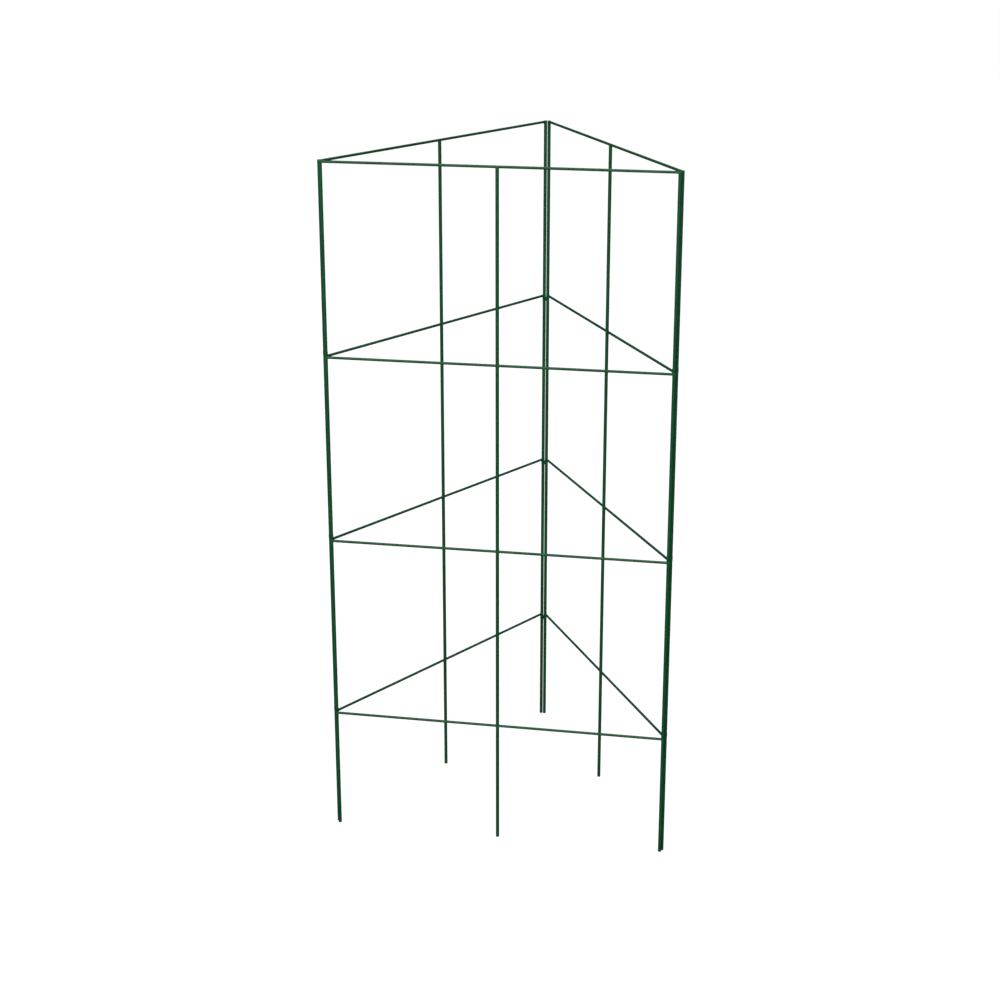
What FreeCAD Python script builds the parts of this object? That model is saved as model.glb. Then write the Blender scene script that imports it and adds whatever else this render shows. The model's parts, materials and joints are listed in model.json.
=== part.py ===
"""Folding triangular plant tower: three flat wire panels, hinged at two corners and clipped at the third.

Units are millimetres. +Z is up and the nine feet stand on z = 0. The front panel lies along X and faces -Y.
The origin is on the ground, half way between the front panel and the back corner.
"""
import FreeCAD, Part
import math
import os

os.makedirs("parts", exist_ok=True)

# Driving dimensions
PANEL_WIDTH = 406.4          # between the centrelines of a panel's two outer legs
STAKE_LENGTH = 153.0         # from the ground to the lowest bar's centreline
BAR_PITCH = 228.6            # between the centrelines of neighbouring bars, the top rail included
LEG_DIAMETER = 4.2
BAR_DIAMETER = 3.2           # bars and top rails
END_ROUND = 0.3              # rounding of the coating over a leg's cut end
RAIL_SEAT = 0.9              # how deep the top rail sits in the end of a middle leg
BAND_SHEET = 0.2             # sheet that the hinge bands and clips are pressed from
BAND_HEIGHT = 5.0
WAIST_WIDTH = 1.8            # pinched waist of a band or clip, between its two legs
PIVOT_CLEARANCE = 0.05       # all round a leg that turns in a band
CRADLE_CLEARANCE = 0.2       # between a clip's open cradle and the leg that rests in it
CRADLE_HALF_ANGLE = 55.0     # how far the cradle reaches round that leg, to each side
BAR_CLEARANCE = 0.4          # between a band or clip and the bars next to it

# Sizes that follow
LEG_RADIUS = LEG_DIAMETER / 2
BAR_RADIUS = BAR_DIAMETER / 2
LEG_SPACING = LEG_DIAMETER + 2 * (PIVOT_CLEARANCE + BAND_SHEET)
LEVELS = ("lower", "middle", "upper")
RAIL_Z = STAKE_LENGTH + len(LEVELS) * BAR_PITCH
HEIGHT = RAIL_Z + BAR_RADIUS
PANEL_OFFSET = (PANEL_WIDTH / 2 + LEG_SPACING) / math.sqrt(3)
CORNER_RADIUS = PANEL_OFFSET / 2 + PANEL_WIDTH * math.sqrt(3) / 4
AXIS_Y = (PANEL_OFFSET - CORNER_RADIUS) / 2

UP = FreeCAD.Vector(0, 0, 1)
TOWER_AXIS = FreeCAD.Vector(0, AXIS_Y, 0)

# Each panel: its name, its turn about the tower's axis, and the names of its two ends
PANELS = (
    ("front", 0, ("left", "right")),
    ("right", 120, ("front", "back")),
    ("left", 240, ("back", "front")),
)


def bar_height(level):
    """Height of a bar's centreline above the ground."""
    return STAKE_LENGTH + LEVELS.index(level) * BAR_PITCH


def place(shape, turn):
    """Moves a shape from the panel's own plane, y = 0, to that panel's place in the tower."""
    placed = shape.copy()
    placed.translate(TOWER_AXIS - FreeCAD.Vector(0, PANEL_OFFSET, 0))
    placed.rotate(TOWER_AXIS, UP, turn)
    return placed


def leg_place(turn, side):
    """Ground point under a panel's outer leg: side is -1 for its first end and +1 for its second."""
    point = FreeCAD.Vector(side * PANEL_WIDTH / 2, -PANEL_OFFSET, 0)
    return TOWER_AXIS + FreeCAD.Rotation(UP, turn).multVec(point)


def export(shape, node):
    shape.exportStep(os.path.join("parts", node + ".step"))


def post(x, radius, top):
    """Plain upright cylinder from the ground, in the panel's plane."""
    return Part.makeCylinder(radius, top, FreeCAD.Vector(x, 0, 0), UP)


def round_ends(shape, heights):
    """Rounds the circular edges that lie at the given heights."""
    edges = []
    for edge in shape.Edges:
        flat = edge.BoundBox.ZLength < END_ROUND / 100
        if flat and any(abs(edge.BoundBox.ZMin - height) < END_ROUND / 100 for height in heights):
            edges.append(edge)
    return shape.makeFillet(END_ROUND, edges)


def wire_between(x_start, x_end, z):
    """Plain level wire in the panel's plane."""
    start = FreeCAD.Vector(x_start, 0, z)
    return Part.makeCylinder(BAR_RADIUS, x_end - x_start, start, FreeCAD.Vector(1, 0, 0))


def outer_leg(x):
    """Outer leg, cut flush with the top of the rail."""
    return round_ends(post(x, LEG_RADIUS, HEIGHT), (0, HEIGHT))


def middle_leg():
    """Middle leg, whose top end is hollowed to take the rail."""
    top = RAIL_Z - BAR_RADIUS + RAIL_SEAT
    leg = round_ends(post(0, LEG_RADIUS, top), (0,))
    return leg.cut(wire_between(-LEG_DIAMETER, LEG_DIAMETER, RAIL_Z))


def butted_wire(x_start, x_end, z):
    """Level wire whose ends are shaped to the legs at x_start and x_end."""
    wire = wire_between(x_start, x_end, z)
    for x in (x_start, x_end):
        wire = wire.cut(post(x, LEG_RADIUS, HEIGHT + BAR_DIAMETER))
    return wire


def build_panel(name, turn, ends):
    """Three legs, a top rail and two half bars at each level, all centred on one plane."""
    half = PANEL_WIDTH / 2
    prefix = name + "_panel_"
    export(place(outer_leg(-half), turn), prefix + ends[0] + "_leg")
    export(place(outer_leg(half), turn), prefix + ends[1] + "_leg")
    export(place(middle_leg(), turn), prefix + "middle_leg")
    export(place(butted_wire(-half, half, RAIL_Z), turn), prefix + "top_rail")
    for level in LEVELS:
        height = bar_height(level)
        export(place(butted_wire(-half, 0, height), turn), prefix + level + "_bar_" + ends[0])
        export(place(butted_wire(0, half, height), turn), prefix + level + "_bar_" + ends[1])


def sleeve(centre, z, radius):
    """Solid cylinder of a band's height round a leg."""
    return Part.makeCylinder(radius, BAND_HEIGHT, centre + UP * z, UP)


def waist(first, second, z):
    """Flat block between two legs' centres, before the legs' holes are cut out of it."""
    along = second - first
    block = Part.makeBox(along.Length, WAIST_WIDTH, BAND_HEIGHT, FreeCAD.Vector(0, -WAIST_WIDTH / 2, 0))
    block.rotate(FreeCAD.Vector(0, 0, 0), UP, math.degrees(math.atan2(along.y, along.x)))
    block.translate(first + UP * z)
    return block


def hinge_band(first, second, z):
    """Sheet band pinched into a figure of eight round two legs, which both turn in it."""
    inner = LEG_RADIUS + PIVOT_CLEARANCE
    band = waist(first, second, z)
    for centre in (first, second):
        band = band.fuse(sleeve(centre, z, inner + BAND_SHEET))
    for centre in (first, second):
        band = band.cut(sleeve(centre, z, inner))
    return band.removeSplitter()


def snap_clip(held, resting, z):
    """Clip closed round the held leg, with a shallow open cradle for the resting leg."""
    inner = LEG_RADIUS + PIVOT_CLEARANCE
    cradle = LEG_RADIUS + CRADLE_CLEARANCE
    back = held - resting
    facing = math.degrees(math.atan2(back.y, back.x))
    sector = Part.makeCylinder(cradle + BAND_SHEET, BAND_HEIGHT, resting + UP * z, UP, 2 * CRADLE_HALF_ANGLE)
    sector.rotate(resting, UP, facing - CRADLE_HALF_ANGLE)
    clip = waist(held, resting, z).fuse(sleeve(held, z, inner + BAND_SHEET)).fuse(sector)
    clip = clip.cut(sleeve(held, z, inner)).cut(sleeve(resting, z, cradle))
    return clip.removeSplitter()


def build_hinge(name, first, second):
    """One band above each bar, where the bars' ends carry it."""
    for level in LEVELS:
        z = bar_height(level) + BAR_RADIUS + BAR_CLEARANCE
        export(hinge_band(first, second, z), name + "_hinge_band_" + level)


def build_clips(held, resting):
    """One clip below each bar, clear of the hinge bands when the tower is folded."""
    for level in LEVELS:
        z = bar_height(level) - BAR_RADIUS - BAR_CLEARANCE - BAND_HEIGHT
        export(snap_clip(held, resting, z), "back_clip_" + level)


for panel_name, panel_turn, panel_ends in PANELS:
    build_panel(panel_name, panel_turn, panel_ends)
build_hinge("left", leg_place(0, -1), leg_place(240, 1))
build_hinge("right", leg_place(0, 1), leg_place(120, -1))
build_clips(leg_place(240, -1), leg_place(120, 1))
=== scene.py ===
"""Looks of the folding triangular plant tower: coated wires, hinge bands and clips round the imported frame.

Lengths are metres, as in the frame. Every wire is a smooth tube whose ends are shaped to what they are
welded to, and every band or clip is a pressed plate with rounded rims.
"""

import json
import math

import bpy
import numpy as np
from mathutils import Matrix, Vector, noise

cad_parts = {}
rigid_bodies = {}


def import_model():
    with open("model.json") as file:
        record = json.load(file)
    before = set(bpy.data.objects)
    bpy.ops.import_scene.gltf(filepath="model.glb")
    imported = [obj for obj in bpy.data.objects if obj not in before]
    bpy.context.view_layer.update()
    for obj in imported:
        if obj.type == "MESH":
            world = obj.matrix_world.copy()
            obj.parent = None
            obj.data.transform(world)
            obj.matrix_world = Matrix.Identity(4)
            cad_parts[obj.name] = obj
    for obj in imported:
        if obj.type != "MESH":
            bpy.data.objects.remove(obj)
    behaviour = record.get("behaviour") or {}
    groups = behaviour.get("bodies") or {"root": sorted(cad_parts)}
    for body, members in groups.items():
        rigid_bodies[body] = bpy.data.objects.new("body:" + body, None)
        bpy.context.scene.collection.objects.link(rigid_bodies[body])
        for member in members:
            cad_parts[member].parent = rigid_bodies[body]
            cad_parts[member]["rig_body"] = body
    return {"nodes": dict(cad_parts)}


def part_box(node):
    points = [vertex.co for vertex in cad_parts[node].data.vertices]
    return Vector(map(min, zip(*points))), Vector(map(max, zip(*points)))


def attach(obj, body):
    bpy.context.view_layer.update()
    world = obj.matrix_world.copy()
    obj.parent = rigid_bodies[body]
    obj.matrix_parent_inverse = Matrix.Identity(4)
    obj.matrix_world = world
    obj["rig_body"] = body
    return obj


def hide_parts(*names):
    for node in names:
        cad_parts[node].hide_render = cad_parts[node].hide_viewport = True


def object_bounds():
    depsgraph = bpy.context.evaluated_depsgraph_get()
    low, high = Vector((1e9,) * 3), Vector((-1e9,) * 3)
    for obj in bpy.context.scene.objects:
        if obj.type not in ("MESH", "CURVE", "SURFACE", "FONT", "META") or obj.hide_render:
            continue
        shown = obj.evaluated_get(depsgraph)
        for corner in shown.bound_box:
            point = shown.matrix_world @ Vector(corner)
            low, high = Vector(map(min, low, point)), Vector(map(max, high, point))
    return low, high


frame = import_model()
cad_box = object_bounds()

MM = 0.001

# The tower's pieces, named as the frame names them
PANELS = {"front": ("left", "right"), "right": ("front", "back"), "left": ("back", "front")}
LEVELS = ("lower", "middle", "upper")

# Coated wire
SIDES = 32                      # faces round a wire
STATION = 6 * MM                # the most between rings along a wire
END_ROUND = 0.3 * MM            # rounding of the coating over a cut end
END_DOME = 0.07 * MM            # how far the coating stands proud in the middle of a cut end
END_RINGS = (0.2, 0.5, 0.75)    # radii of the rings on a cut end, as shares of the wire's
END_ROUND_STEPS = 6
END_MARGIN = 2 * END_ROUND + END_DOME   # kept clear of plain rings at each end of a leg
NEARLY_FULL = 0.99              # share of a leg's radius from which a ring can carry weld coating
COATING_RIPPLE = 0.012 * MM     # unevenness of the coating's thickness
RIPPLE_LENGTH = 14 * MM
WELD_RISE = 0.28 * MM           # how far a bar's weld fillet stands proud of the bar
WELD_LENGTH = 0.75 * MM         # how far it runs along the bar
WELD_SWELL = 0.035 * MM         # coating built up on a leg or rail beside a weld
WELD_REACH = 1.6 * MM           # how far along a wire a weld shows
WELD_RINGS = 5                  # rings on each side of a leg's weld, half a reach apart
SADDLE_RINGS = 4                # the same on a rail, each side of the middle leg
FLARE_STEPS = 6                 # steps from a fillet's foot to its end
PLAIN_START = 3 * WELD_LENGTH   # from a leg's side to the first plain ring of a bar
BEAD_UNEVENNESS = 0.15          # share of a fillet's rise that varies round the bar
ROOT_DEPTH = 0.3 * MM           # how far a bar's end is buried in what it is welded to
RAIL_SEAT = 0.9 * MM            # how deep a rail sits in a middle leg's end

# Strips of a wire's UV map
STRIP_GAP = 0.06                # between strips, as a share of the wire's girth
SQUARE_SPARE = 1.04             # side of the square, as a share of what the strips need
SQUARE_CORNER = (0.02, 0.01)    # where the first strip starts

# Pressed bands and clips
BAND_SHEET = 0.2 * MM
WAIST_HALF_WIDTH = 0.9 * MM
NOTCH_RADIUS = 0.15 * MM        # rounding where a waist meets a ring
CRADLE_CLEARANCE = 0.2 * MM
CRADLE_HALF_ANGLE = math.radians(55)
RIM_ROUND = 0.06 * MM
RIM_STEPS = 3
PRESSED_HOLLOW = 0.03 * MM      # how far a band's wall draws in between its rims
HOLLOW_SHARES = (0.3, 0.5, 0.7)  # places down a band's wall where it is drawn in
RING_STEPS = 44                 # faces round a band's ring
CRADLE_STEPS = 8                # faces along each side of a cradle
LIP_STEPS = 6                   # faces round a cradle's edge
NOTCH_STEPS = 5
WAIST_ROWS = 12
SAME_PLACE_DIGITS = 5           # decimals of a millimetre within which two points are one

# Coating
BROAD_NOISE = (22, 3)           # scale and detail of the slow change in colour
FINE_NOISE = (650, 4)           # scale and detail of the chalky flecks and the change in gloss
PEBBLE_DETAIL = 2
BROAD_RANGE = (0.35, 0.65)      # noise values between which the colour goes from deep to fresh
FLECK_RANGE = (0.5, 0.8)        # noise values between which flecks appear
GLOSS_RANGE = (0.3, 0.7)        # noise values between which the gloss goes from first to last
FLECK_CHALK = 0.22              # how chalky the flecks are at most
HIGHLIGHT_AND_WEAR_CHALK = 0.35               # the furthest the colour goes towards the light green near welds, cut ends and rims: painted highlight and worn coating
SPECULAR_LEVEL = 0.25
PEBBLE_STRENGTH = 0.3
PEBBLE_HEIGHT = 0.025 * MM

# Camera: where it stands, what it looks at, and its lens
CAMERA_PLACE = Vector((0.3768, -2.2173, 1.1826))
CAMERA_AIM = Vector((-0.0176, -0.0612, 0.4434))
FOCAL_LENGTH = 67.345           # mm
SENSOR_WIDTH = 36               # mm
LENS_SHIFT = (-0.0005, -0.0294)

# Stage
FLOOR_HALF = 40                 # half of the floor's side
FLOOR_DROP = 0.05 * MM          # how far the floor lies below the feet
SOFTBOX_SIZE = 2.0
SOFTBOX_DISTANCE = 5.0


def smooth_object(name, points, faces, attributes=()):
    """Mesh object with smooth faces and float point attributes, given as (name, values) pairs."""
    mesh = bpy.data.meshes.new(name)
    mesh.from_pydata([tuple(point) for point in points], [], faces)
    for label, values in attributes:
        layer = mesh.attributes.new(label, "FLOAT", "POINT")
        layer.data.foreach_set("value", np.asarray(values, np.float32))
    mesh.validate()
    mesh.shade_smooth()
    piece = bpy.data.objects.new(name, mesh)
    bpy.context.scene.collection.objects.link(piece)
    return piece


def place_piece(piece, node, material):
    """Gives a piece its finish and puts it in the place of a CAD node, on that node's body."""
    piece.data.materials.append(material)
    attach(piece, frame["nodes"][node]["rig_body"])
    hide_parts(node)


# ---------------------------------------------------------------- wires

def folded_map(mesh, ring_count, lengths, girth):
    """UV map that lays a long tube out as parallel strips, so that they fill the square."""
    total = lengths[-1] - lengths[0]
    strips = max(1, round(math.sqrt(total / girth)))
    strip_length = total / strips
    pitch = girth * (1 + STRIP_GAP)
    width = max(strip_length, strips * pitch) * SQUARE_SPARE
    layer = mesh.uv_layers.new(name="OFBake").uv
    values = np.zeros((len(mesh.loops), 2), np.float32)
    first_pole = ring_count * SIDES
    for face in mesh.polygons:
        on_rings = [v for v in face.vertices if v < first_pole]
        low_ring = min(v // SIDES for v in on_rings)
        strip = min(strips - 1, int((lengths[low_ring] - lengths[0]) / strip_length))
        turns = [v % SIDES for v in on_rings]
        wraps = max(turns) - min(turns) > 1
        for corner, vertex in zip(face.loop_indices, face.vertices):
            if vertex >= first_pole:
                length = lengths[0] - END_ROUND if vertex == first_pole else lengths[-1] + END_ROUND
                turn = sum(t + SIDES * (wraps and t == 0) for t in turns) / len(turns)
            else:
                length = lengths[vertex // SIDES]
                turn = vertex % SIDES
                turn += SIDES * (wraps and turn == 0)
            along = length - lengths[0] - strip * strip_length
            across = strip * pitch + turn / SIDES * girth
            values[corner] = (along / width + SQUARE_CORNER[0], across / width + SQUARE_CORNER[1])
    layer.foreach_set("vector", values.ravel())


def tube(name, start, along, across, distances, radii, highlight_and_wear):
    """Closed tube. distances, radii and the mask of painted highlight and worn coating have a row for each
    ring and a column for each side.
    """
    turn = np.arange(SIDES) * 2 * math.pi / SIDES
    along, across = np.array(along), np.array(across)
    sideways = np.cross(along, across)
    outward = np.outer(np.cos(turn), across) + np.outer(np.sin(turn), sideways)
    points = np.array(start) + distances[..., None] * along + radii[..., None] * outward
    for ring in points:
        for side, point in enumerate(ring):
            thinning = COATING_RIPPLE * (0.5 + 0.5 * noise.noise(Vector(point) / RIPPLE_LENGTH))
            ring[side] = point - thinning * outward[side]
    ring_count = len(points)
    tip = along * END_DOME * END_RINGS[0] ** 2
    poles = [points[0].mean(0) - tip, points[-1].mean(0) + tip]
    faces = []
    for ring in range(ring_count - 1):
        for side in range(SIDES):
            a, b = ring * SIDES + side, ring * SIDES + (side + 1) % SIDES
            faces.append((a, b, b + SIDES, a + SIDES))
    first_pole, last_pole = ring_count * SIDES, ring_count * SIDES + 1
    last_ring = (ring_count - 1) * SIDES
    for side in range(SIDES):
        after = (side + 1) % SIDES
        faces.append((after, side, first_pole))
        faces.append((last_ring + side, last_ring + after, last_pole))
    flat_points = np.concatenate([points.reshape(-1, 3), poles])
    # Mask of painted highlight and worn coating, with a value for each pole as well
    flat_highlight_and_wear = np.concatenate([highlight_and_wear.ravel(), [highlight_and_wear[0].mean(), highlight_and_wear[-1].mean()]])
    piece = smooth_object(name, flat_points, faces, [("highlight_and_wear", flat_highlight_and_wear)])
    steps = np.linalg.norm(np.diff(points, axis=0), axis=2).mean(1)
    lengths = np.concatenate([[0], np.cumsum(steps)])
    folded_map(piece.data, ring_count, lengths, 2 * math.pi * float(radii.max()))
    return piece


def rounded_end(radius):
    """(depth below the end, radius) of each ring over a cut end, from its middle to its side."""
    rings = [(END_DOME * share ** 2, radius * share) for share in END_RINGS]
    for step in range(END_ROUND_STEPS + 1):
        angle = step * math.pi / 2 / END_ROUND_STEPS
        depth = END_DOME + END_ROUND * (1 - math.cos(angle))
        rings.append((depth, radius - END_ROUND * (1 - math.sin(angle))))
    return rings


def spaced(first, last):
    """Ring places from first to last, no further apart than a station."""
    return list(np.linspace(first, last, max(2, math.ceil((last - first) / STATION) + 1)))


def near(places, heights):
    """From 0 to 1, how close each place along a wire is to the nearest of some heights."""
    gaps = np.abs(np.subtract.outer(np.asarray(places), np.asarray(heights))).min(1)
    return np.exp(-(gaps / WELD_REACH) ** 2)


def leg_places(first, last, welds):
    """Ring places along a leg, with more rings beside each weld."""
    places = spaced(first, last)
    for height in welds:
        places += [height + WELD_REACH * step / 2 for step in range(-WELD_RINGS, WELD_RINGS + 1)]
    return sorted(place for place in places if first <= place <= last)


def upright(name, centre, direction, radius, top, welds, top_shape=None):
    """Leg from the ground. top_shape says how high it may reach at each distance off the panel's plane."""
    end = rounded_end(radius)
    highest = top - END_MARGIN - (RAIL_SEAT if top_shape else 0)
    body = leg_places(END_MARGIN, highest, welds)
    places = [depth for depth, _ in end] + body + [top - depth for depth, _ in reversed(end)]
    sizes = [r for _, r in end] + [radius] * len(body) + [r for _, r in reversed(end)]
    swell = WELD_SWELL * near(places, welds) * (np.array(sizes) > radius * NEARLY_FULL)
    radii = np.repeat((np.array(sizes) + swell)[:, None], SIDES, 1)
    distances = np.repeat(np.array(places)[:, None], SIDES, 1)
    if top_shape:
        across = radii * np.sin(np.arange(SIDES) * 2 * math.pi / SIDES)
        top_rings = slice(len(end) + len(body), None)
        distances[top_rings] = np.minimum(distances[top_rings], top_shape(across[top_rings]))
    # Painted highlight and worn coating: the leg is painted lighter near its ends and its welds
    highlight_and_wear = np.repeat(near(places, [0, top] + welds)[:, None], SIDES, 1)
    return tube(name, centre, (0, 0, 1), direction, distances, radii, highlight_and_wear)


def flared(radius, offset, bead, allowed):
    """Radii round a bar at an offset from what it is welded to, with its uneven weld fillet."""
    share = min(max(offset / WELD_LENGTH, 0), 1)
    rise = WELD_RISE * (1 - math.sqrt(1 - (1 - share) ** 2))
    sides = [Vector((math.cos(t), math.sin(t), 0)) for t in np.arange(SIDES) * 2 * math.pi / SIDES]
    unevenness = np.array([noise.noise(bead + side) for side in sides])
    return radius + rise * (1 - BEAD_UNEVENNESS + BEAD_UNEVENNESS * unevenness) * allowed


def level_wire(name, start, end, normal, radius, leg_radius, saddle_at=None):
    """Bar or rail between two legs' axes, its ends shaped to the legs and flared into weld fillets.

    A rail also sits on a middle leg, at saddle_at along it, and its welds stay below its top.
    """
    start, end = np.array(start), np.array(end)
    span = float(np.linalg.norm(end - start))
    along = (end - start) / span
    turn = np.arange(SIDES) * 2 * math.pi / SIDES
    fillet = [WELD_LENGTH * step / FLARE_STEPS for step in range(FLARE_STEPS + 1)]
    flare = [-ROOT_DEPTH] + fillet + [2 * WELD_LENGTH]
    middle = spaced(leg_radius + PLAIN_START, span - leg_radius - PLAIN_START)
    if saddle_at is not None:
        saddle = [saddle_at + WELD_REACH * step / 2 for step in range(-SADDLE_RINGS, SADDLE_RINGS + 1)]
        middle = sorted(middle + saddle)
    rows = len(flare) * 2 + len(middle)
    offsets = flare + [0] * len(middle) + flare[::-1]
    allowed = 1 - np.maximum(0, -np.sin(turn)) if saddle_at is not None else np.ones(SIDES)
    radii = np.zeros((rows, SIDES))
    distances = np.zeros((rows, SIDES))
    for row, offset in enumerate(offsets):
        at_end = row < len(flare) or row >= rows - len(flare)
        bead = Vector((0, 0, start[0] / RIPPLE_LENGTH + (row >= len(flare))))
        radii[row] = flared(radius, offset, bead, allowed) if at_end else radius
        reach = np.sqrt(leg_radius ** 2 - (radii[row] * np.cos(turn)) ** 2)
        if row < len(flare):
            distances[row] = reach + offset
        elif at_end:
            distances[row] = span - reach - offset
        else:
            distances[row] = middle[row - len(flare)]
    weld_places = [leg_radius, span - leg_radius]
    if saddle_at is not None:
        weld_places.append(saddle_at)
        radii += WELD_SWELL * near(distances.mean(1), [saddle_at])[:, None] * allowed
    # Painted highlight and worn coating: the wire is painted lighter near its welds
    highlight_and_wear = np.repeat(near(distances.mean(1), weld_places)[:, None], SIDES, 1)
    return tube(name, start, along, normal, distances, radii, highlight_and_wear)


def middle_of(node):
    low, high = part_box(node)
    return (low + high) / 2


def size_of(node):
    low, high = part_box(node)
    return high - low


def wire_radii():
    """Radii of the legs and of the bars, from the frame's boxes."""
    return size_of("front_panel_middle_leg").x / 2, size_of("front_panel_lower_bar_left").z / 2


def rail_underside(rail_height, bar_radius):
    """Height of a rail's underside as a function of the distance off the panel's plane."""
    def height(across):
        inside = np.minimum(np.abs(across), bar_radius)
        under = rail_height - np.sqrt(bar_radius ** 2 - inside ** 2) + END_DOME
        return np.where(np.abs(across) < bar_radius, under, rail_height)

    return height


def build_outer_leg(node, place, direction, welds, material):
    """Leg at a panel's side, as tall as its CAD node."""
    leg_radius, _ = wire_radii()
    foot = (place.x, place.y, 0)
    leg = upright(node + "_wire", foot, direction, leg_radius, size_of(node).z, welds)
    place_piece(leg, node, material)


def build_middle_leg(node, place, direction, welds, rail_height, material):
    """Leg that ends under the rail, with its end shaped to the rail."""
    leg_radius, bar_radius = wire_radii()
    foot = (place.x, place.y, 0)
    top = rail_height - bar_radius + RAIL_SEAT
    under = rail_underside(rail_height, bar_radius)
    leg = upright(node + "_wire", foot, direction, leg_radius, top, welds, under)
    place_piece(leg, node, material)


def build_level(node, start, end, height, normal, material, saddle_at=None):
    """Bar or rail between two legs' axes at one height."""
    leg_radius, bar_radius = wire_radii()
    first, last = (start.x, start.y, height), (end.x, end.y, height)
    wire = level_wire(node + "_wire", first, last, normal, bar_radius, leg_radius, saddle_at)
    place_piece(wire, node, material)


def build_panel(panel, ends, material):
    """One panel's three legs, top rail and six half bars."""
    prefix = panel + "_panel_"
    legs = {which: middle_of(prefix + which + "_leg") for which in (ends[0], "middle", ends[1])}
    direction = (legs[ends[1]] - legs[ends[0]]).to_2d().normalized().to_3d()
    normal = direction.cross(Vector((0, 0, 1)))
    rail = prefix + "top_rail"
    rail_height = middle_of(rail).z
    bar_heights = {level: middle_of(prefix + level + "_bar_" + ends[0]).z for level in LEVELS}
    levels = list(bar_heights.values())
    for which, place in legs.items():
        node = prefix + which + "_leg"
        if which == "middle":
            build_middle_leg(node, place, direction, levels, rail_height, material)
        else:
            build_outer_leg(node, place, direction, levels + [rail_height], material)
    first, middle, last = legs.values()
    build_level(rail, first, last, rail_height, normal, material, (middle - first).to_2d().length)
    for level, height in bar_heights.items():
        for end in ends:
            build_level(prefix + level + "_bar_" + end, legs[end], middle, height, normal, material)


# ---------------------------------------------------------------- bands and clips

def arc(centre, radius, first, last, steps):
    """Points from the first angle to the last, both included."""
    turns = np.linspace(first, last, steps + 1)
    return [(centre[0] + radius * math.cos(a), centre[1] + radius * math.sin(a)) for a in turns]


class Plan:
    """Flat quad mesh in a band's own plane, with one vertex for each place."""

    def __init__(self):
        self.points, self.faces, self.known = [], [], {}

    def vertex(self, point):
        key = tuple(round(value / MM, SAME_PLACE_DIGITS) for value in point)
        if key not in self.known:
            self.known[key] = len(self.points)
            self.points.append(point)
        return self.known[key]

    def grid(self, columns):
        """Quads between columns of points, each column with the same number of points."""
        rows = [[self.vertex(point) for point in column] for column in columns]
        for left, right in zip(rows, rows[1:]):
            for a, b, c, d in zip(left, right, right[1:], left[1:]):
                self.faces.append((a, b, c, d))

    def fan(self, hub, rim):
        """Triangles from a hub to each step along a rim."""
        middle = self.vertex(hub)
        corners = [self.vertex(point) for point in rim]
        for a, b in zip(corners, corners[1:]):
            self.faces.append((middle, a, b))


def ring_wall(plan, centre, inner, outer, first, last, steps):
    """Wall of sheet round a leg, from one angle to another."""
    columns = []
    for angle in np.linspace(first, last, steps + 1):
        across, up = math.cos(angle), math.sin(angle)
        radii = (outer, (inner + outer) / 2, inner)
        columns.append([(centre[0] + r * across, centre[1] + r * up) for r in radii])
    plan.grid(columns)


def waist(plan, spacing, inner, outer):
    """Pinched sheet between two legs' holes. inner and outer are the two radii round each leg."""
    lift = WAIST_HALF_WIDTH + NOTCH_RADIUS
    turns = [math.asin(lift / (r + NOTCH_RADIUS)) for r in outer]
    left_notch = ((outer[0] + NOTCH_RADIUS) * math.cos(turns[0]), lift)
    right_notch = (spacing - (outer[1] + NOTCH_RADIUS) * math.cos(turns[1]), lift)
    top = [(r * math.cos(turns[0]), r * math.sin(turns[0])) for r in (inner[0], (inner[0] + outer[0]) / 2)]
    top += arc(left_notch, NOTCH_RADIUS, turns[0] - math.pi, -math.pi / 2, NOTCH_STEPS)
    top += arc(right_notch, NOTCH_RADIUS, -math.pi / 2, -turns[1], NOTCH_STEPS)
    last_radii = ((inner[1] + outer[1]) / 2, inner[1])
    top += [(spacing - r * math.cos(turns[1]), r * math.sin(turns[1])) for r in last_radii]
    left = arc((0, 0), inner[0], -turns[0], turns[0], WAIST_ROWS)
    right = arc((spacing, 0), inner[1], math.pi + turns[1], math.pi - turns[1], WAIST_ROWS)
    columns = []
    for i, (x, y) in enumerate(top):
        u = i / (len(top) - 1)
        column = []
        for j in range(WAIST_ROWS + 1):
            v = j / WAIST_ROWS
            sides = (1 - u) * np.array(left[j]) + u * np.array(right[j])
            ends = np.array((x, y * (2 * v - 1)))
            low = (1 - u) * np.array(left[0]) + u * np.array(right[0])
            high = (1 - u) * np.array(left[-1]) + u * np.array(right[-1])
            column.append(tuple(sides + ends - (1 - v) * low - v * high))
        columns.append(column)
    plan.grid(columns)
    return turns


def rim_loops(faces):
    """For each vertex on a rim, the vertices before and after it, with the sheet on the left."""
    count = {}
    for face in faces:
        for a, b in zip(face, face[1:] + face[:1]):
            count[(a, b)] = count.get((a, b), 0) + 1
    rim = [(a, b) for a, b in count if (b, a) not in count]
    after = dict(rim)
    before = {b: a for a, b in rim}
    return before, after


def wall_profile(low, high):
    """(inset, height) down a plate's wall, from its top rim to its bottom one."""
    profile = []
    for step in range(RIM_STEPS + 1):
        angle = step * math.pi / 2 / RIM_STEPS
        profile.append((RIM_ROUND * (1 - math.sin(angle)), high - RIM_ROUND * (1 - math.cos(angle))))
    rim = list(profile)
    for share in HOLLOW_SHARES:
        profile.append((PRESSED_HOLLOW * (1 - (2 * share - 1) ** 2), high - (high - low) * share))
    return profile + [(inset, high + low - z) for inset, z in reversed(rim)]


def outward_normals(flat, before, after):
    """For each vertex on a rim, the direction out of the sheet."""
    outward = {}
    for vertex in after:
        edges = [flat[vertex] - flat[before[vertex]], flat[after[vertex]] - flat[vertex]]
        normals = [np.array((edge[1], -edge[0])) / np.linalg.norm(edge) for edge in edges]
        total = normals[0] + normals[1]
        outward[vertex] = total / np.linalg.norm(total)
    return outward


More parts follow.
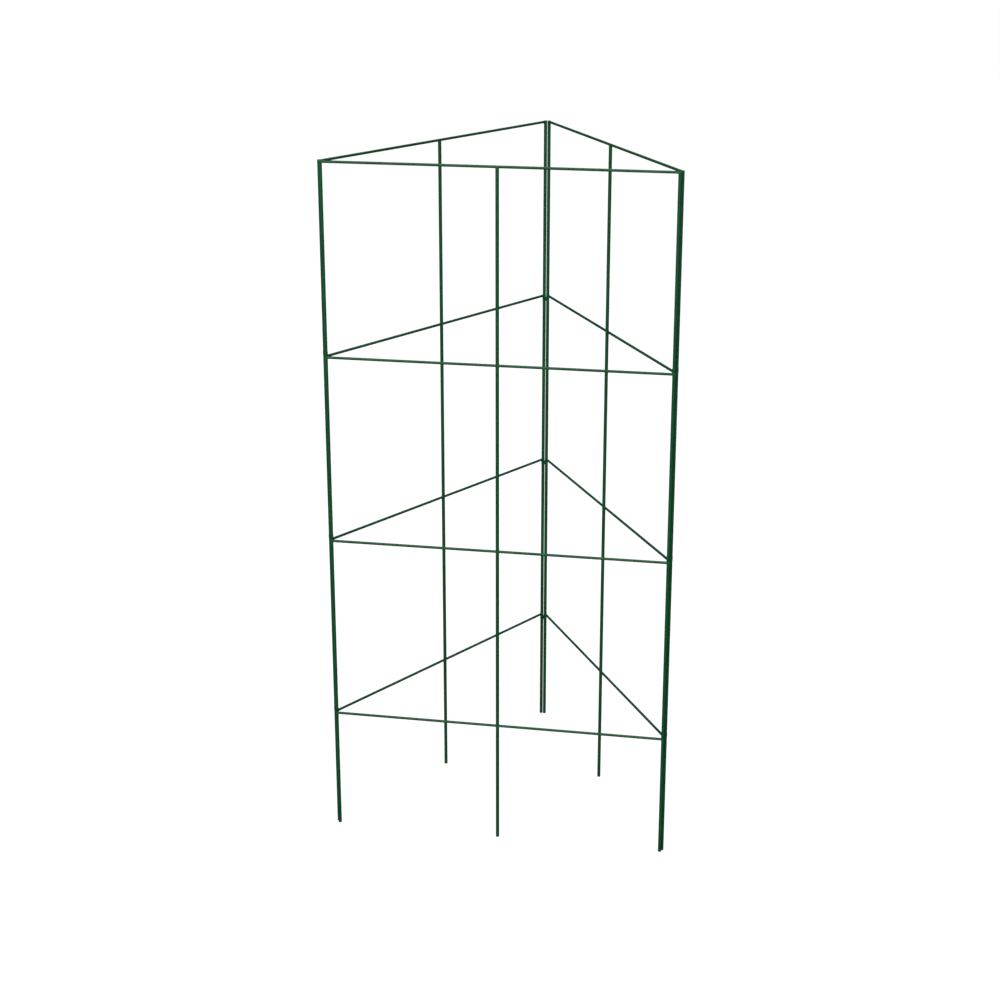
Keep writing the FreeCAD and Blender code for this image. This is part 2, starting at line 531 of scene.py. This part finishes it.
def pressed_plate(name, plan, place, direction, low, high):
    """Plan raised to its height, with rounded rims and walls drawn in a little between them."""
    flat = np.array(plan.points)
    before, after = rim_loops(plan.faces)
    outward = outward_normals(flat, before, after)
    profile = wall_profile(low, high)
    levels = len(profile)
    points, index = [], {}
    for vertex, point in enumerate(flat):
        for level in (range(levels) if vertex in outward else (0, levels - 1)):
            inset, z = profile[level]
            index[(vertex, level)] = len(points)
            shifted = point - inset * outward[vertex] if vertex in outward else point
            points.append((shifted[0], shifted[1], z))
    faces = [tuple(index[(v, 0)] for v in face) for face in plan.faces]
    faces += [tuple(index[(v, levels - 1)] for v in reversed(face)) for face in plan.faces]
    for a, b in after.items():
        for level in range(levels - 1):
            below = level + 1
            faces.append((index[(a, level)], index[(a, below)], index[(b, below)], index[(b, level)]))
    sideways = Vector((-direction.y, direction.x, 0))
    world = [place + direction * x + sideways * y + Vector((0, 0, z)) for x, y, z in points]
    # Painted highlight and worn coating: the band is painted lighter at its top and bottom rims
    plain_reach = (high - low) / 2 - 2 * RIM_ROUND
    highlight_and_wear = [float(abs(z - (high + low) / 2) > plain_reach) for _, _, z in points]
    return smooth_object(name, world, faces, [("highlight_and_wear", highlight_and_wear)])


def build_band(node, first, second, material):
    """Figure-of-eight band round two legs that both turn in it."""
    low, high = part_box(node)
    between = (second - first).to_2d()
    outer = between.length / 2
    inner = outer - BAND_SHEET
    plan = Plan()
    turns = waist(plan, between.length, (inner, inner), (outer, outer))
    ring_wall(plan, (0, 0), inner, outer, turns[0], 2 * math.pi - turns[0], RING_STEPS)
    second_hole = (between.length, 0)
    ring_wall(plan, second_hole, inner, outer, turns[1] - math.pi, math.pi - turns[1], RING_STEPS)
    foot = Vector((first.x, first.y, 0))
    piece = pressed_plate(node + "_pressed", plan, foot, between.normalized().to_3d(), low.z, high.z)
    place_piece(piece, node, material)


def build_clip(node, held, resting, leg_radius, material):
    """Clip closed round the held leg, with an open cradle for the resting leg."""
    low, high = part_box(node)
    between = (resting - held).to_2d()
    outer = between.length / 2
    inner = outer - BAND_SHEET
    cradle = leg_radius + CRADLE_CLEARANCE
    plan = Plan()
    turns = waist(plan, between.length, (inner, cradle), (outer, cradle + BAND_SHEET))
    ring_wall(plan, (0, 0), inner, outer, turns[0], 2 * math.pi - turns[0], RING_STEPS)
    centre = (between.length, 0)
    lip_angle = CRADLE_HALF_ANGLE - BAND_SHEET / cradle / 2
    for side in (-1, 1):
        first = math.pi - side * turns[1]
        last = math.pi - side * lip_angle
        span = (first, last) if side < 0 else (last, first)
        ring_wall(plan, centre, cradle, cradle + BAND_SHEET, *span, CRADLE_STEPS)
        middle = cradle + BAND_SHEET / 2
        hub = (centre[0] + middle * math.cos(last), middle * math.sin(last))
        turn = last - side * math.pi / 2
        rim = arc(hub, BAND_SHEET / 2, turn - math.pi / 2, turn + math.pi / 2, LIP_STEPS)
        plan.fan(hub, rim)
    foot = Vector((held.x, held.y, 0))
    piece = pressed_plate(node + "_pressed", plan, foot, between.normalized().to_3d(), low.z, high.z)
    place_piece(piece, node, material)


def build_connectors(material):
    """Hinge bands at the two front corners and clips at the back corner."""
    leg_radius, _ = wire_radii()
    pairs = {"left": ("front_panel_left_leg", "left_panel_front_leg"),
             "right": ("front_panel_right_leg", "right_panel_front_leg")}
    for corner, legs in pairs.items():
        first, second = (middle_of(leg) for leg in legs)
        for level in LEVELS:
            build_band(corner + "_hinge_band_" + level, first, second, material)
    held, resting = middle_of("left_panel_back_leg"), middle_of("right_panel_back_leg")
    for level in LEVELS:
        build_clip("back_clip_" + level, held, resting, leg_radius, material)


# ---------------------------------------------------------------- materials

def add_node(tree, kind, **inputs):
    """Adds a node and sets its inputs, whose names have _ for a space."""
    node = tree.nodes.new(kind)
    for name, value in inputs.items():
        node.inputs[name.replace("_", " ")].default_value = value
    return node


def noise_at(tree, place, scale, detail):
    """Noise value at each place on a piece."""
    texture = add_node(tree, "ShaderNodeTexNoise", Scale=scale, Detail=detail)
    tree.links.new(place, texture.inputs["Vector"])
    return texture.outputs["Fac"]


def mapped(tree, value, low, high, first, last):
    """Value between low and high, turned into one between first and last."""
    node = tree.nodes.new("ShaderNodeMapRange")
    for socket, number in zip(("From Min", "From Max", "To Min", "To Max"), (low, high, first, last)):
        node.inputs[socket].default_value = number
    tree.links.new(value, node.inputs["Value"])
    return node.outputs["Result"]


def mixed(tree, factor, first, second):
    """Colour mix. first is a colour or a socket, second is a colour."""
    node = tree.nodes.new("ShaderNodeMix")
    node.data_type = "RGBA"
    tree.links.new(factor, node.inputs["Factor"])
    if isinstance(first, tuple):
        node.inputs["A"].default_value = first
    else:
        tree.links.new(first, node.inputs["A"])
    node.inputs["B"].default_value = second
    return node.outputs["Result"]


def coating(name, deep, fresh, chalk_and_highlight, roughness, grain):
    """Green coating, uneven in colour and gloss and finely pebbled, with a painted highlight and worn
    coating that make it a lighter green by welds, cut ends and rims.
    """
    material = bpy.data.materials.new(name)
    material.use_nodes = True
    tree = material.node_tree
    shader = tree.nodes["Principled BSDF"]
    place = tree.nodes.new("ShaderNodeTexCoord").outputs["Object"]
    # Mask of painted highlight and worn coating, carried by the meshes
    highlight_and_wear = tree.nodes.new("ShaderNodeAttribute")
    highlight_and_wear.attribute_name = "highlight_and_wear"

    broad = noise_at(tree, place, *BROAD_NOISE)
    fine = noise_at(tree, place, *FINE_NOISE)
    colour = mixed(tree, mapped(tree, broad, *BROAD_RANGE, 0, 1), deep, fresh)
    colour = mixed(tree, mapped(tree, fine, *FLECK_RANGE, 0, FLECK_CHALK), colour, chalk_and_highlight)
    # Painted highlight and worn coating: a lighter green where the mask is high
    colour = mixed(tree, mapped(tree, highlight_and_wear.outputs["Fac"], 0, 1, 0, HIGHLIGHT_AND_WEAR_CHALK), colour, chalk_and_highlight)
    tree.links.new(colour, shader.inputs["Base Color"])

    tree.links.new(mapped(tree, fine, *GLOSS_RANGE, *roughness), shader.inputs["Roughness"])
    shader.inputs["Specular IOR Level"].default_value = SPECULAR_LEVEL

    pebbles = noise_at(tree, place, grain, PEBBLE_DETAIL)
    bump = add_node(tree, "ShaderNodeBump", Strength=PEBBLE_STRENGTH, Distance=PEBBLE_HEIGHT)
    tree.links.new(pebbles, bump.inputs["Height"])
    tree.links.new(bump.outputs["Normal"], shader.inputs["Normal"])
    return material


def build_wire_coating():
    """Coating of the legs, rails and bars."""
    return coating("coated_wire_green", deep=(0.003, 0.060, 0.018, 1), fresh=(0.005, 0.077, 0.025, 1),
                   chalk_and_highlight=(0.015, 0.11, 0.045, 1), roughness=(0.34, 0.5), grain=1300)


def build_sheet_coating():
    """Coating of the bands and clips, a little darker and smoother."""
    return coating("hinge_sheet_green", deep=(0.002, 0.053, 0.016, 1), fresh=(0.004, 0.067, 0.022, 1),
                   chalk_and_highlight=(0.02, 0.11, 0.05, 1), roughness=(0.3, 0.45), grain=1900)


# ---------------------------------------------------------------- stage

def build_floor():
    """Wide floor that the camera sees white, and that throws no light back onto the tower."""
    far = FLOOR_HALF
    corners = [(-far, -far, 0), (far, -far, 0), (far, far, 0), (-far, far, 0)]
    floor = smooth_object("floor", corners, [(0, 1, 2, 3)])
    material = bpy.data.materials.new("pale_floor")
    material.use_nodes = True
    shader = material.node_tree.nodes["Principled BSDF"]
    shader.inputs["Base Color"].default_value = (0.1, 0.1, 0.1, 1)
    shader.inputs["Roughness"].default_value = 0.9
    shader.inputs["Specular IOR Level"].default_value = 0
    shader.inputs["Emission Color"].default_value = (1, 1, 1, 1)
    shader.inputs["Emission Strength"].default_value = 1.0
    floor.data.materials.append(material)
    floor.location.z = -FLOOR_DROP
    floor.visible_diffuse = False
    floor.visible_glossy = False


def softbox(name, azimuth, elevation, power):
    """Square soft light aimed at the tower's middle. Azimuth 0 is in front of the front panel."""
    turn, lift = math.radians(azimuth), math.radians(elevation)
    aim = Vector((0, 0, sum(corner[2] for corner in cad_box) / 2))
    away = Vector((math.sin(turn) * math.cos(lift), -math.cos(turn) * math.cos(lift), math.sin(lift)))
    data = bpy.data.lights.new(name, "AREA")
    data.size = SOFTBOX_SIZE
    data.energy = power
    lamp = bpy.data.objects.new(name, data)
    lamp.location = aim + away * SOFTBOX_DISTANCE
    lamp.rotation_euler = away.to_track_quat("Z", "Y").to_euler()
    lamp.visible_camera = False
    bpy.context.scene.collection.objects.link(lamp)


def build_world(seen, ambient):
    """White where the camera sees it, and a softer even light on the tower."""
    world = bpy.data.worlds.new("studio")
    world.use_nodes = True
    tree = world.node_tree
    tree.nodes.clear()
    rays = tree.nodes.new("ShaderNodeLightPath")
    dim = add_node(tree, "ShaderNodeBackground", Strength=ambient)
    bright = add_node(tree, "ShaderNodeBackground", Strength=seen)
    for background in (dim, bright):
        background.inputs["Color"].default_value = (1, 1, 1, 1)
    choice = tree.nodes.new("ShaderNodeMixShader")
    output = tree.nodes.new("ShaderNodeOutputWorld")
    tree.links.new(rays.outputs["Is Camera Ray"], choice.inputs[0])
    tree.links.new(dim.outputs[0], choice.inputs[1])
    tree.links.new(bright.outputs[0], choice.inputs[2])
    tree.links.new(choice.outputs[0], output.inputs["Surface"])
    bpy.context.scene.world = world


def build_camera():
    """Camera that sees the tower as the photo does."""
    data = bpy.data.cameras.new("camera")
    data.lens = FOCAL_LENGTH
    data.sensor_width = SENSOR_WIDTH
    data.shift_x, data.shift_y = LENS_SHIFT
    camera = bpy.data.objects.new("camera", data)
    camera.location = CAMERA_PLACE
    camera.rotation_euler = (CAMERA_PLACE - CAMERA_AIM).to_track_quat("Z", "Y").to_euler()
    bpy.context.scene.collection.objects.link(camera)
    bpy.context.scene.camera = camera


build_camera()
bpy.context.scene.view_settings.view_transform = "Standard"
build_world(seen=1.0, ambient=0.1)
build_floor()
softbox("left_light", azimuth=-25, elevation=40, power=135)
softbox("front_light", azimuth=5, elevation=18, power=105)
softbox("right_light", azimuth=40, elevation=30, power=36)
softbox("back_light", azimuth=175, elevation=60, power=120)

wire_coating = build_wire_coating()
sheet_coating = build_sheet_coating()
for panel, ends in PANELS.items():
    build_panel(panel, ends, wire_coating)
build_connectors(sheet_coating)
